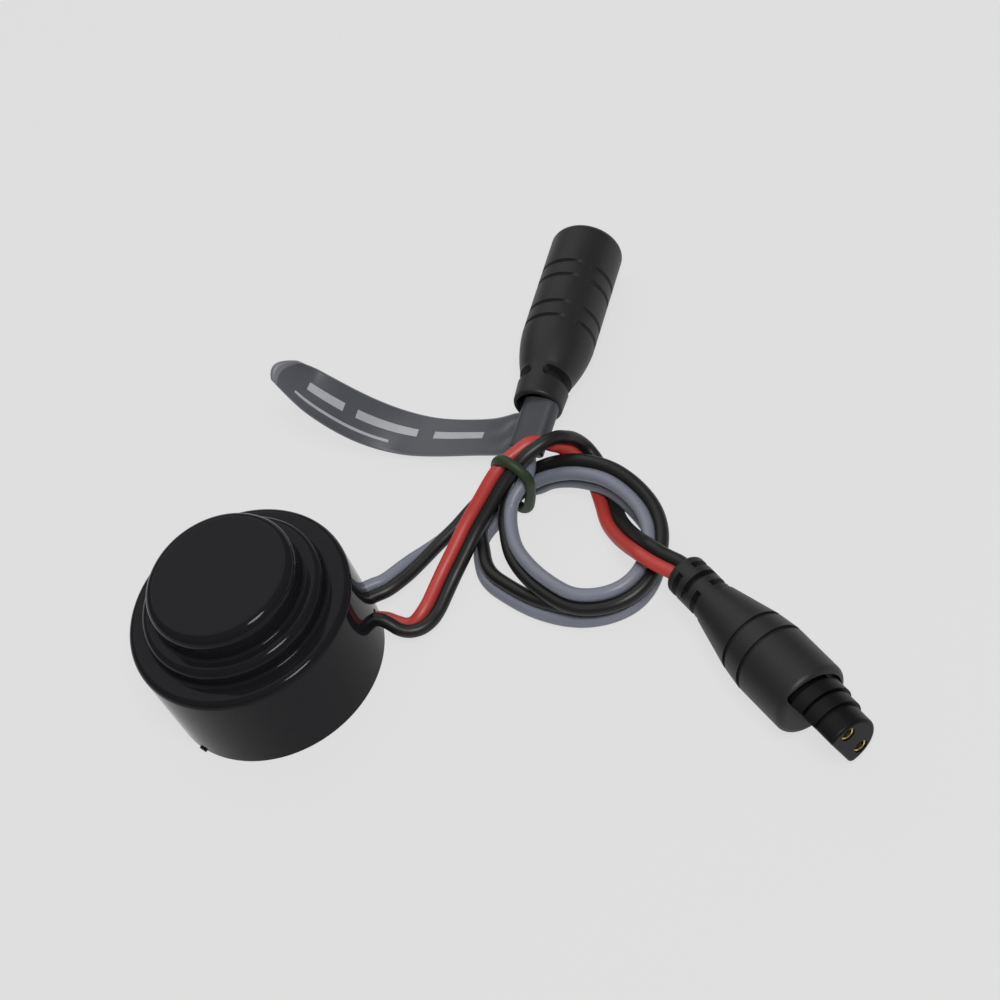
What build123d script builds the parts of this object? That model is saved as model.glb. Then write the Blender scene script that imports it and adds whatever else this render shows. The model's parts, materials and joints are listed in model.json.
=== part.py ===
"""Sensor module of a flush valve: potted infrared sensor, two twin-wire leads and their connectors."""

import math
import os

from build123d import *

os.makedirs("parts", exist_ok=True)

# Sensor housing
drum_diameter = 38.2
drum_draft = 0.3
drum_height = 18.0
drum_edge = 1.3
middle_diameter = 30.8
middle_height = 3.4
middle_edge = 1.4
window_diameter = 25.4
window_height = 5.2
window_edge = 1.8
step_root = 0.5
housing_wall = 2.2
window_thickness = 2.0
back_chamfer = 0.4
nib_angle = 207.5
nib_width = 1.2
nib_height = 0.6
nib_reach = 0.3

# Pieces inside the sensor
fit = 0.1
potting_recess = 0.5
potting_depth = 7.5
board_thickness = 1.6
diode_diameter = 5.0
diode_flange_diameter = 5.8
diode_flange_height = 1.0
diode_height = 6.6
diode_pitch = 11.0
diode_leg_diameter = 0.5
diode_leg_pitch = 2.54
diode_leg_length = 3.0
divider_clearance = 0.2
divider_slot = 1.2
divider_slot_depth = 4.0
chip_length = 9.9
chip_width = 6.0
chip_height = 1.6
chip_edge = 0.3
chip_offset = -8.0
capacitor_diameter = 6.3
capacitor_height = 5.4
capacitor_edge = 0.5
capacitor_offset = 8.5

# Leads
lead_diameter = 2.8
lead_seat = 1.2
lead_start = 2.8
connector_seat = 2.0
lead_bend_share = 0.45
valve_exit_angle = -15.0
valve_exit_turn = -15.0
valve_exit_height = 4.2
sensor_exit_angle = 0.0
sensor_exit_turn = 0.0
sensor_exit_height = 5.0
coil_thickness = 4.2
coil_tilt = 10.0
coil_centre = (53.0, -9.0, 4.8)

# Wire tie
tie_wire = 1.5
tie_length = 11.4
tie_width = 5.0
tie_centre = (48.7, 3.2, 7.3)
tie_along = (0.86, 0.5, 0.0)

# Label
label_width = 7.6
label_thickness = 0.35
label_corner = 2.0
label_start = 0.1
sleeve_slack = 2.3
sleeve_length = 9.2
sleeve_clearance = 0.45
flag_root_height = -0.3
flag_points = ((11.5, -4.9), (21.0, -6.0), (34.0, 5.4), (41.6, 15.0))

# Plug, measured along its axis from the cable end
plug_place = (64.81, -29.59, 8.45)
plug_heading = -77.4
plug_dip = 3.5
plug_diameter = 12.8
plug_length = 32.3
plug_edge = 1.3
plug_grip_start = 21.6
plug_shoulder = 17.5
plug_shoulder_diameter = 11.7
plug_cone_start = 8.6
plug_cone_diameter = 7.6
relief_diameter = 7.0
relief_edge = 0.9
relief_core = 4.6
relief_slot_first = 1.6
relief_slot_width = 1.1
relief_slot_pitch = 2.3
relief_slot_count = 3
relief_bridge = 2.2
groove_width = 0.8
groove_depth = 0.45

# Nose of the plug, measured from the plug's front face
nose_diameter = 9.4
nose_flat = 1.9
nose_corner = 0.9
nose_shift = 0.6
nose_turn = 12.7
nose_length = 9.3
nose_seat = 6.0
nose_edge = 0.5
nose_recess = 1.6
nose_recess_margin = 1.3
nose_rib_start = 0.4
nose_rib_length = 2.3
nose_rib_pitch = 2.7
nose_rib_rises = (0.9, 0.5)
contact_pitch = 5.4
contact_shift = 0.9
contact_outer = 2.4
contact_bore = 1.7
contact_depth = 7.0
contact_recess = 0.9

# Barrel connector, measured along its axis from the cable end
barrel_place = (57.68, 14.24, 9.3)
barrel_heading = 54.0
barrel_dip = 4.6
barrel_diameter = 12.5
barrel_length = 37.0
barrel_edge = 1.6
barrel_grip_start = 14.4
barrel_bell_middle = 10.2
barrel_bell_diameter = 11.3
barrel_neck = 6.4
barrel_neck_diameter = 9.0
collar_diameter = 8.3
collar_edge = 0.6
collar_bore = 7.0
collar_depth = 3.0
collar_slot_at = 3.9
collar_slot_width = 2.1
collar_slot_core = 6.0
collar_bridge = 2.0
collar_slot_corner = 0.9
barrel_groove_places = (15.3, 18.5, 24.6, 27.8)
barrel_groove_turn = 34.0
barrel_groove_fade = 0.12
mouth_bore = 10.2
mouth_depth = 5.0
socket_bore = 9.6
socket_depth = 12.0
barrel_core_length = 4.0
pin_reach = 6.0
pin_tip = 0.3

# Worked-out sizes
drum_foot_diameter = drum_diameter - 2 * drum_draft
middle_top = drum_height + middle_height
housing_height = middle_top + window_height
drum_inside = drum_diameter - 2 * housing_wall
middle_inside = middle_diameter - 2 * housing_wall
window_inside = window_diameter - 2 * housing_wall
drum_ceiling = drum_height - housing_wall
middle_ceiling = middle_top - housing_wall
window_ceiling = housing_height - window_thickness
divider_diameter = window_inside - 2 * divider_clearance
board_bottom = drum_ceiling - board_thickness
lead_hole = lead_diameter + 2 * fit
exit_reach = housing_wall + lead_seat
groove_reach = max(plug_diameter, barrel_diameter)
sleeve_height = lead_diameter + 2 * sleeve_clearance
sleeve_width = sleeve_height + sleeve_slack
pin_diameter = contact_bore - 2 * fit


def heading(angle):
    """Level unit vector at an angle from +X."""
    return Vector(math.cos(math.radians(angle)), math.sin(math.radians(angle)), 0)


def exit_plane(angle, turn, height):
    """Plane on the drum's side where a lead leaves, facing along the lead."""
    place = heading(angle) * (drum_diameter / 2) + Vector(0, 0, height)
    return Plane(origin=place, x_dir=(0, 0, 1), z_dir=heading(angle + turn))


def connector_plane(place, angle, dip):
    """Plane at a connector's cable end, facing its mating end, with its Y axis upward."""
    forward = heading(angle) * math.cos(math.radians(dip)) - Vector(0, 0, math.sin(math.radians(dip)))
    across = heading(angle + 90)
    return Plane(origin=place, x_dir=across, z_dir=forward)


def turned(plane, angle):
    """Plane turned about its own normal."""
    return Plane(plane.origin, plane.x_dir.rotate(Axis((0, 0, 0), plane.z_dir), angle), plane.z_dir)


def bend_radii(points, closed=False):
    """Largest tangent arc that the two runs at each corner leave room for."""
    corners = [Vector(*point) for point in points]
    if closed:
        corners = [corners[-1]] + corners + [corners[0]]
    radii = []
    for before, corner, after in zip(corners, corners[1:], corners[2:]):
        run_in = corner - before
        run_out = after - corner
        half_turn = math.radians(run_in.get_angle(run_out)) / 2
        shorter = min(run_in.length, run_out.length)
        radii.append(lead_bend_share * shorter / math.tan(half_turn))
    return radii


def rims_at(piece, diameter, height):
    """Level circular edges of one diameter at one height."""
    rims = piece.edges().filter_by(GeomType.CIRCLE)
    return [
        rim
        for rim in rims
        if abs(rim.radius - diameter / 2) < fit and abs(rim.center().Z - height) < fit
    ]


def section_plane(connector):
    """Plane through a connector's axis: X along the axis, Y outward."""
    return Plane(origin=connector.origin, x_dir=connector.z_dir, z_dir=connector.x_dir)


def cut_ring(plane, width, core, bridge=0.0, turn=0.0):
    """Cut a groove down to a core diameter, broken at two opposite bridges if it has them."""
    with BuildSketch(plane) as ring:
        Circle(groove_reach)
        Circle(core / 2, mode=Mode.SUBTRACT)
        if bridge:
            Rectangle(bridge, 2 * groove_reach, rotation=turn, mode=Mode.SUBTRACT)
    extrude(ring.sketch, amount=width, mode=Mode.SUBTRACT)


def cut_fading_groove(plane, diameter):
    """Cut a grip groove that runs out at two opposite places."""
    with BuildSketch(plane) as groove:
        Circle(groove_reach)
        Ellipse(diameter / 2 - groove_depth, diameter / 2 + barrel_groove_fade, mode=Mode.SUBTRACT)
    extrude(groove.sketch, amount=groove_width, mode=Mode.SUBTRACT)


def nose_outline(plane, margin=0.0, flat_margin=0.0):
    """Section of the plug's nose, a circle with one flat side, each grown by a margin."""
    with BuildSketch(plane) as outline:
        Circle(nose_diameter / 2 + margin)
        with Locations((-nose_flat - flat_margin, 0)):
            Rectangle(
                nose_diameter, 2 * nose_diameter, align=(Align.MAX, Align.CENTER), mode=Mode.SUBTRACT
            )
        fillet(outline.vertices(), nose_corner)
    return outline.sketch


def start_of(path):
    """Plane across the start of a path."""
    return Plane(origin=path @ 0, z_dir=path % 0)


valve_exit = exit_plane(valve_exit_angle, valve_exit_turn, valve_exit_height)
sensor_exit = exit_plane(sensor_exit_angle, sensor_exit_turn, sensor_exit_height)
plug_plane = connector_plane(plug_place, plug_heading, plug_dip)
barrel_plane = connector_plane(barrel_place, barrel_heading, barrel_dip)
plug_axis = Axis(plug_plane.origin, plug_plane.z_dir)
barrel_axis = Axis(barrel_plane.origin, barrel_plane.z_dir)
front_plane = turned(plug_plane.offset(plug_length), nose_turn)
nose_plane = Plane(front_plane.from_local_coords((-nose_shift, 0, 0)), front_plane.x_dir, front_plane.z_dir)
grip_plane = turned(barrel_plane, barrel_groove_turn)

# Routes of the leads
valve_lead_points = [
    tuple(valve_exit.from_local_coords((0, 0, -exit_reach))),
    tuple(valve_exit.from_local_coords((0, 0, lead_start))),
    (23.8, -7.4, 2.4),
    (27.4, -5.8, 1.5),
    (31.2, -2.2, 2.2),
    (36.4, 0.2, 4.8),
    (42.2, 2.0, 8.2),
    (47.6, 3.2, 11.0),
    (52.0, 4.8, 12.0),
    (56.2, 6.0, 10.6),
    (59.6, 6.6, 7.4),
    (61.8, 5.2, 3.6),
    (61.8, 0.8, 1.6),
    (60.2, -4.4, 1.5),
    (59.5, -9.0, 3.0),
    (60.4, -14.4, 6.6),
    (61.8, -20.4, 8.4),
    tuple(plug_plane.from_local_coords((0, 0, -lead_start))),
    tuple(plug_plane.from_local_coords((0, 0, connector_seat))),
]
sensor_lead_points = [
    tuple(sensor_exit.from_local_coords((0, 0, -exit_reach))),
    tuple(sensor_exit.from_local_coords((0, 0, lead_start))),
    (27.4, 2.6, 2.8),
    (33.8, 4.6, 1.6),
    (39.4, 5.6, 1.7),
    (44.6, 3.0, 2.9),
    (49.6, 3.0, 3.3),
    (53.8, 5.6, 2.9),
]
connector_lead_points = [
    (52.3, 8.2, 7.6),
    (54.7, 11.3, 8.5),
    tuple(barrel_plane.from_local_coords((0, 0, -fit))),
    tuple(barrel_plane.from_local_coords((0, 0, collar_depth + connector_seat))),
]
coil_plane = Plane(origin=coil_centre, x_dir=(1, 0, 0), z_dir=(0, 0, 1)).rotated((coil_tilt, 0, 0))
coil_points = [
    (10.8, -7.6),
    (11.3, 0.9),
    (7.7, 8.8),
    (1.1, 13.0),
    (-4.6, 12.8),
    (-10.4, 6.4),
    (-12.4, -1.9),
    (-7.6, -10.4),
    (2.2, -14.6),
]

# Sensor housing: a stepped cup, open at its back
with BuildPart() as sensor_housing:
    with BuildSketch(Plane.XZ):
        with BuildLine():
            Polyline(
                (0, window_ceiling),
                (window_inside / 2, window_ceiling),
                (window_inside / 2, middle_ceiling),
                (middle_inside / 2, middle_ceiling),
                (middle_inside / 2, drum_ceiling),
                (drum_inside / 2, drum_ceiling),
                (drum_inside / 2, 0),
                (drum_foot_diameter / 2, 0),
                (drum_diameter / 2, drum_height),
                (middle_diameter / 2, drum_height),
                (middle_diameter / 2, middle_top),
                (window_diameter / 2, middle_top),
                (window_diameter / 2, housing_height),
                (0, housing_height),
                close=True,
            )
        make_face()
    revolve(axis=Axis.Z)
    fillet(rims_at(sensor_housing, window_diameter, housing_height), window_edge)
    fillet(rims_at(sensor_housing, middle_diameter, middle_top), middle_edge)
    fillet(rims_at(sensor_housing, drum_diameter, drum_height), drum_edge)
    fillet(rims_at(sensor_housing, window_diameter, middle_top), step_root)
    fillet(rims_at(sensor_housing, middle_diameter, drum_height), step_root)
    chamfer(rims_at(sensor_housing, drum_foot_diameter, 0), back_chamfer)
    with BuildSketch():
        with PolarLocations(drum_foot_diameter / 2, 1, start_angle=nib_angle):
            Rectangle(2 * nib_reach, nib_width)
    extrude(amount=nib_height)
    for lead_exit in (valve_exit, sensor_exit):
        with BuildSketch(lead_exit):
            Circle(lead_hole / 2)
        extrude(amount=exit_reach, both=True, mode=Mode.SUBTRACT)

# Circuit board against the drum's ceiling
with BuildPart() as circuit_board:
    with BuildSketch(Plane.XY.offset(board_bottom)):
        Circle(drum_inside / 2 - fit)
        for side in (-1, 1):
            with Locations((side * diode_pitch / 2, 0)):
                with GridLocations(diode_leg_pitch, 0, 2, 1):
                    Circle(diode_leg_diameter / 2 + fit, mode=Mode.SUBTRACT)
    extrude(amount=board_thickness)

# Divider that holds the two diodes apart and keeps stray light from the receiver
with BuildPart() as light_divider:
    with BuildSketch(Plane.XY.offset(drum_ceiling)):
        Circle(divider_diameter / 2)
    extrude(amount=window_ceiling - drum_ceiling - fit)
    with BuildSketch(Plane.XY.offset(drum_ceiling)):
        with GridLocations(diode_pitch, 0, 2, 1):
            Circle(diode_diameter / 2 + fit)
    extrude(amount=window_ceiling - drum_ceiling, mode=Mode.SUBTRACT)
    with BuildSketch(Plane.XY.offset(drum_ceiling)):
        with GridLocations(diode_pitch, 0, 2, 1):
            Circle(diode_flange_diameter / 2 + fit)
    extrude(amount=diode_flange_height + fit, mode=Mode.SUBTRACT)
    with BuildSketch(Plane.XY.offset(window_ceiling)):
        Rectangle(divider_slot, divider_diameter)
    extrude(amount=-divider_slot_depth, mode=Mode.SUBTRACT)

# Infrared diodes: flanged body with a domed lens and two legs
diodes = []
for side in (-1, 1):
    with BuildPart() as diode:
        with BuildSketch(Plane.XZ):
            with BuildLine():
                Polyline(
                    (0, drum_ceiling),
                    (diode_flange_diameter / 2, drum_ceiling),
                    (diode_flange_diameter / 2, drum_ceiling + diode_flange_height),
                    (diode_diameter / 2, drum_ceiling + diode_flange_height),
                    (diode_diameter / 2, drum_ceiling + diode_height - diode_diameter / 2),
                )
                CenterArc(
                    (0, drum_ceiling + diode_height - diode_diameter / 2), diode_diameter / 2, 0, 90
                )
                Line((0, drum_ceiling + diode_height), (0, drum_ceiling))
            make_face()
        revolve(axis=Axis.Z)
        with BuildSketch(Plane.XY.offset(drum_ceiling)):
            with GridLocations(diode_leg_pitch, 0, 2, 1):
                Circle(diode_leg_diameter / 2)
        extrude(amount=-diode_leg_length)
    diodes.append(diode.part.moved(Location((side * diode_pitch / 2, 0, 0))))
emitter_diode, receiver_diode = diodes

# Control chip and storage capacitor under the board
with BuildPart() as control_chip:
    with BuildSketch(Plane.XY.offset(board_bottom)):
        with Locations((0, chip_offset)):
            Rectangle(chip_length, chip_width)
    extrude(amount=-chip_height)
    chamfer(control_chip.edges().group_by(Axis.Z)[0], chip_edge)

with BuildPart() as storage_capacitor:
    with BuildSketch(Plane.XY.offset(board_bottom)):
        with Locations((0, capacitor_offset)):
            Circle(capacitor_diameter / 2)
    extrude(amount=-capacitor_height)
    fillet(storage_capacitor.edges().group_by(Axis.Z)[0], capacitor_edge)

# Sealing compound that closes the back and holds the leads
with BuildPart() as potting_fill:
    with BuildSketch(Plane.XY.offset(potting_recess)):
        Circle(drum_inside / 2 - fit)
    extrude(amount=potting_depth)
    for lead_exit in (valve_exit, sensor_exit):
        with BuildSketch(lead_exit):
            Circle(lead_hole / 2)
        extrude(amount=-exit_reach, mode=Mode.SUBTRACT)

# Leads
with BuildPart() as valve_lead:
    with BuildLine() as valve_lead_path:
        FilletPolyline(*valve_lead_points, radius=bend_radii(valve_lead_points))
    with BuildSketch(start_of(valve_lead_path.line)):
        Circle(lead_diameter / 2)
    sweep()

with BuildPart() as sensor_lead:
    with BuildLine() as sensor_lead_path:
        FilletPolyline(*sensor_lead_points, radius=bend_radii(sensor_lead_points))
    with BuildSketch(start_of(sensor_lead_path.line)):
        Circle(lead_diameter / 2)
    sweep()

with BuildPart() as connector_lead:
    with BuildLine() as connector_lead_path:
        FilletPolyline(*connector_lead_points, radius=bend_radii(connector_lead_points))
    with BuildSketch(start_of(connector_lead_path.line)):
        Circle(lead_diameter / 2)
    sweep()

# The turns below the tie, as one ring of their outer shape
with BuildPart() as lead_coil:
    with BuildLine(coil_plane) as coil_path:
        FilletPolyline(*coil_points, radius=bend_radii([(*p, 0) for p in coil_points], True), close=True)
    with BuildSketch(start_of(coil_path.line)):
        Circle(coil_thickness / 2)
    sweep()

# Wire tie: an upright oval ring round the bundle
with BuildPart() as lead_tie:
    tie_plane = Plane(origin=tie_centre, x_dir=(0, 0, 1), z_dir=tie_along)
    with BuildLine(tie_plane) as tie_path:
        straight = (tie_length - tie_width) / 2
        half_width = (tie_width + tie_wire) / 2
        top_arc = CenterArc((straight, 0), half_width, -90, 180)
        bottom_arc = CenterArc((-straight, 0), half_width, 90, 180)
        Line(top_arc @ 1, bottom_arc @ 0)
        Line(bottom_arc @ 1, top_arc @ 0)
    with BuildSketch(start_of(tie_path.line)):
        Circle(tie_wire / 2)
    sweep()

# Label: wrapped flat round the lead, its free end curled upward
sleeve_end = Vector(*connector_lead_points[0])
sleeve_along = (Vector(*connector_lead_points[2]) - sleeve_end).normalized()
label_across = Vector(-sleeve_along.Y, sleeve_along.X, 0)
label_plane = Plane(origin=sleeve_end + sleeve_along * label_start, x_dir=label_across, z_dir=sleeve_along)
with BuildPart() as label_flag:
    with BuildSketch(label_plane):
        SlotOverall(sleeve_width + 2 * label_thickness, sleeve_height + 2 * label_thickness)
        SlotOverall(sleeve_width, sleeve_height, mode=Mode.SUBTRACT)
    extrude(amount=sleeve_length)
    with BuildSketch(label_plane):
        with BuildLine():
            root_arc = ThreePointArc((sleeve_width / 2, flag_root_height), flag_points[0], flag_points[1])
            rise_arc = TangentArc(root_arc @ 1, flag_points[2], tangent=root_arc % 1)
            TangentArc(rise_arc @ 1, flag_points[3], tangent=rise_arc % 1)
        trace(line_width=label_thickness)
    extrude(amount=label_width)
    flag_corners = label_flag.edges().filter_by(GeomType.LINE).sort_by(Axis((0, 0, 0), label_across))
    fillet([edge for edge in flag_corners if abs(edge.length - label_thickness) < fit][-2:], label_corner)

# Plug body: slotted strain relief, cone and grooved grip
with BuildPart() as plug_shell:
    with BuildSketch(section_plane(plug_plane)):
        with BuildLine():
            Polyline(
                (0, 0),
                (0, relief_diameter / 2),
                (plug_cone_start, relief_diameter / 2),
                (plug_cone_start, plug_cone_diameter / 2),
                (plug_shoulder, plug_shoulder_diameter / 2),
                (plug_grip_start, plug_diameter / 2),
                (plug_length, plug_diameter / 2),
                (plug_length, 0),
                close=True,
            )
        make_face()
    revolve(axis=plug_axis)
    plug_ends = plug_shell.edges().filter_by(GeomType.CIRCLE).sort_by(plug_axis)
    fillet(plug_ends[0], relief_edge)
    fillet(plug_ends[-1], plug_edge)
    for index in range(relief_slot_count):
        slot_plane = plug_plane.offset(relief_slot_first + index * relief_slot_pitch)
        cut_ring(slot_plane, relief_slot_width, relief_core, relief_bridge, 90 * (index % 2))
    cut_ring(plug_plane.offset(plug_shoulder), groove_width, plug_shoulder_diameter - 2 * groove_depth)
    cut_ring(plug_plane.offset(plug_grip_start), groove_width, plug_diameter - 2 * groove_depth)
    with BuildSketch(plug_plane):
        Circle(lead_hole / 2)
    extrude(amount=connector_seat + fit, mode=Mode.SUBTRACT)
    extrude(nose_outline(nose_plane, fit, fit), amount=-nose_seat, mode=Mode.SUBTRACT)
    extrude(nose_outline(nose_plane, nose_recess_margin, fit), amount=-nose_recess, mode=Mode.SUBTRACT)

# Nose: round with one flat side, two ribs that step down towards the tip, and two contact holes
with BuildPart() as plug_core:
    extrude(nose_outline(nose_plane.offset(-nose_seat)), amount=nose_seat + nose_length)
    fillet(plug_core.faces().sort_by(plug_axis)[-1].edges(), nose_edge)
    for index, rise in enumerate(nose_rib_rises):
        with BuildSketch(nose_plane.offset(nose_rib_start + index * nose_rib_pitch)):
            Circle(nose_diameter / 2 + rise)
            with Locations((-nose_flat, 0)):
                Rectangle(
                    2 * nose_diameter, 2 * nose_diameter, align=(Align.MAX, Align.CENTER), mode=Mode.SUBTRACT
                )
        extrude(amount=nose_rib_length)
    with BuildSketch(nose_plane.offset(nose_length)):
        with Locations((contact_shift, 0)):
            with GridLocations(0, contact_pitch, 1, 2):
                Circle(contact_outer / 2)
    extrude(amount=-contact_recess - contact_depth, mode=Mode.SUBTRACT)

# Gold socket contacts: tubes set just below the tip
with BuildPart() as plug_contacts:
    with BuildSketch(nose_plane.offset(nose_length - contact_recess)):
        with Locations((contact_shift, 0)):
            with GridLocations(0, contact_pitch, 1, 2):
                Circle(contact_outer / 2)
                Circle(contact_bore / 2, mode=Mode.SUBTRACT)
    extrude(amount=-contact_depth)

# Barrel connector: collar, bell and grooved grip round a deep socket
with BuildPart() as barrel_shell:
    with BuildSketch(section_plane(barrel_plane)):
        with BuildLine():
            Polyline(
                (barrel_grip_start, barrel_diameter / 2),
                (barrel_length, barrel_diameter / 2),
                (barrel_length, 0),
                (0, 0),
                (0, collar_diameter / 2),
                (barrel_neck, barrel_neck_diameter / 2),
            )
            ThreePointArc(
                (barrel_neck, barrel_neck_diameter / 2),
                (barrel_bell_middle, barrel_bell_diameter / 2),
                (barrel_grip_start, barrel_diameter / 2),
            )
        make_face()
    revolve(axis=barrel_axis)
    barrel_ends = barrel_shell.edges().filter_by(GeomType.CIRCLE).sort_by(barrel_axis)
    fillet(barrel_ends[0], collar_edge)
    fillet(barrel_ends[-1], barrel_edge)
    for place in barrel_groove_places:
        cut_fading_groove(grip_plane.offset(place), barrel_diameter)
    cut_ring(barrel_plane.offset(collar_slot_at), collar_slot_width, collar_slot_core, collar_bridge)
    slot_corners = [
        edge
        for edge in barrel_shell.edges().filter_by(GeomType.LINE)
        if abs((edge % 0).dot(barrel_plane.z_dir)) < fit
        and barrel_plane.to_local_coords(edge.center()).Z < barrel_neck
    ]
    fillet(slot_corners, collar_slot_corner)
    with BuildSketch(barrel_plane):
        Circle(collar_bore / 2)
    extrude(amount=collar_depth, mode=Mode.SUBTRACT)
    with BuildSketch(barrel_plane.offset(collar_depth)):
        Circle(lead_hole / 2)
    extrude(amount=connector_seat + fit, mode=Mode.SUBTRACT)
    with BuildSketch(barrel_plane.offset(barrel_length)):
        Circle(socket_bore / 2)
    extrude(amount=-socket_depth - barrel_core_length, mode=Mode.SUBTRACT)
    with BuildSketch(barrel_plane.offset(barrel_length)):
        Circle(mouth_bore / 2)
    extrude(amount=-mouth_depth, mode=Mode.SUBTRACT)

# Insulator at the bottom of the socket
with BuildPart() as barrel_core:
    with BuildSketch(barrel_plane.offset(barrel_length - socket_depth)):
        Circle(socket_bore / 2 - fit)
        with GridLocations(0, contact_pitch, 1, 2):
            Circle(pin_diameter / 2, mode=Mode.SUBTRACT)
    extrude(amount=-barrel_core_length)

# Contact pins
with BuildPart() as barrel_pins:
    with BuildSketch(barrel_plane.offset(barrel_length - socket_depth - barrel_core_length)):
        with GridLocations(0, contact_pitch, 1, 2):
            Circle(pin_diameter / 2)
    extrude(amount=barrel_core_length + pin_reach)
    pin_tips = barrel_pins.faces().sort_by(barrel_axis)[-2:]
    fillet(pin_tips.edges(), pin_tip)

pieces = {
    "sensor_housing": sensor_housing.part,
    "circuit_board": circuit_board.part,
    "light_divider": light_divider.part,
    "emitter_diode": emitter_diode,
    "receiver_diode": receiver_diode,
    "control_chip": control_chip.part,
    "storage_capacitor": storage_capacitor.part,
    "potting_fill": potting_fill.part,
    "valve_lead": valve_lead.part,
    "sensor_lead": sensor_lead.part,
    "connector_lead": connector_lead.part,
    "lead_coil": lead_coil.part,
    "lead_tie": lead_tie.part,
    "label_flag": label_flag.part,
    "plug_shell": plug_shell.part,
    "plug_core": plug_core.part,
    "plug_contacts": plug_contacts.part,
    "barrel_shell": barrel_shell.part,
    "barrel_core": barrel_core.part,
    "barrel_pins": barrel_pins.part,
}
for name, piece in pieces.items():
    piece.label = name
    export_step(piece, f"parts/{name}.step")

# Tubes: bend radii, and volume against section times length
lead_section = math.pi * lead_diameter**2 / 4
for name, points, path, tube in (
    ("valve_lead", valve_lead_points, valve_lead_path, valve_lead),
    ("sensor_lead", sensor_lead_points, sensor_lead_path, sensor_lead),
    ("connector_lead", connector_lead_points, connector_lead_path, connector_lead),
):
    length = path.wire().length
    print(name, "radii", [round(radius, 1) for radius in bend_radii(points)])
    print(name, "length", round(length, 1), "fill", round(tube.part.volume / lead_section / length, 4))
coil_section = math.pi * coil_thickness**2 / 4
coil_length = coil_path.wire().length
coil_fill = lead_coil.part.volume / coil_section / coil_length
print("lead_coil length", round(coil_length, 1), "fill", round(coil_fill, 4))
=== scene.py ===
"""Dressed model of a flush valve's sensor module: glossy sensor, two twin-wire leads and their connectors."""

import json
import math

import bmesh
import bpy
from mathutils import Matrix, Vector

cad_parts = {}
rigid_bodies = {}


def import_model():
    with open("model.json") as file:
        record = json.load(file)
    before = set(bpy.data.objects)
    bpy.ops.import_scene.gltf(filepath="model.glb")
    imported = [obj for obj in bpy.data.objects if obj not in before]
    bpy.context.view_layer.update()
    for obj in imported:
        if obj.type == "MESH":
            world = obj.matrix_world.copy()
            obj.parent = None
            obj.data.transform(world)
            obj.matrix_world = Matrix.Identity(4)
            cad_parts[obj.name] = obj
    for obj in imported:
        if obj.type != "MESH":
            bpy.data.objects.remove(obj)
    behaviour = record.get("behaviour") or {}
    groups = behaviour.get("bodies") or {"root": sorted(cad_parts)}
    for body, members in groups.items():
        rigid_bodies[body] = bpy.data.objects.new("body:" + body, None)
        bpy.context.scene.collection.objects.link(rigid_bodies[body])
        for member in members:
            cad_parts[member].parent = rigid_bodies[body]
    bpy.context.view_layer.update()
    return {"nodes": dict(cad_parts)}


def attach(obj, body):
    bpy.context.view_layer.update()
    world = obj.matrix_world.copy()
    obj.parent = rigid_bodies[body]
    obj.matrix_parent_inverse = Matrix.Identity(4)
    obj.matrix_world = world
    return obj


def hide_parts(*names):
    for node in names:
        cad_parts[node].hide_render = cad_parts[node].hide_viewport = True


bl_info = {
    "name": "Flush Valve Sensor Module",
    "version": (1, 0, 0),
    "blender": (4, 5, 0),
    "location": "View3D > Sidebar > Sensor Module",
    "description": "Builds the finishes and soft pieces of a flush valve's sensor module",
    "category": "Add Mesh",
}

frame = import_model()
NODES = frame["nodes"]
BODY = "root"

# Routes of the two leads, as control points in metres
VALVE_CORD_ROUTE = (
    (0.0155, -0.0032, 0.0042), (0.0189, -0.0052, 0.0041), (0.0202, -0.0067, 0.0033),
    (0.0214, -0.0082, 0.0026), (0.0231, -0.0089, 0.0024), (0.0250, -0.0086, 0.0024),
    (0.0271, -0.0073, 0.0025), (0.0293, -0.0054, 0.0029), (0.0320, -0.0033, 0.0036),
    (0.0351, -0.0015, 0.0049), (0.0389, 0.0007, 0.0066), (0.0420, 0.0018, 0.0082),
    (0.0471, 0.0036, 0.0111), (0.0509, 0.0043, 0.0122), (0.0545, 0.0049, 0.0125),
    (0.0577, 0.0049, 0.0106), (0.0600, 0.0051, 0.0072), (0.0611, 0.0038, 0.0040),
    (0.0611, 0.0004, 0.0024), (0.0604, -0.0046, 0.0023), (0.0595, -0.0093, 0.0031),
    (0.0597, -0.0140, 0.0049), (0.0603, -0.0180, 0.0068), (0.0611, -0.0219, 0.0089),
    (0.0618, -0.0239, 0.0092), (0.0630, -0.0260, 0.0086), (0.0646, -0.0286, 0.0085),
    (0.0653, -0.0315, 0.0083),
)
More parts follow.
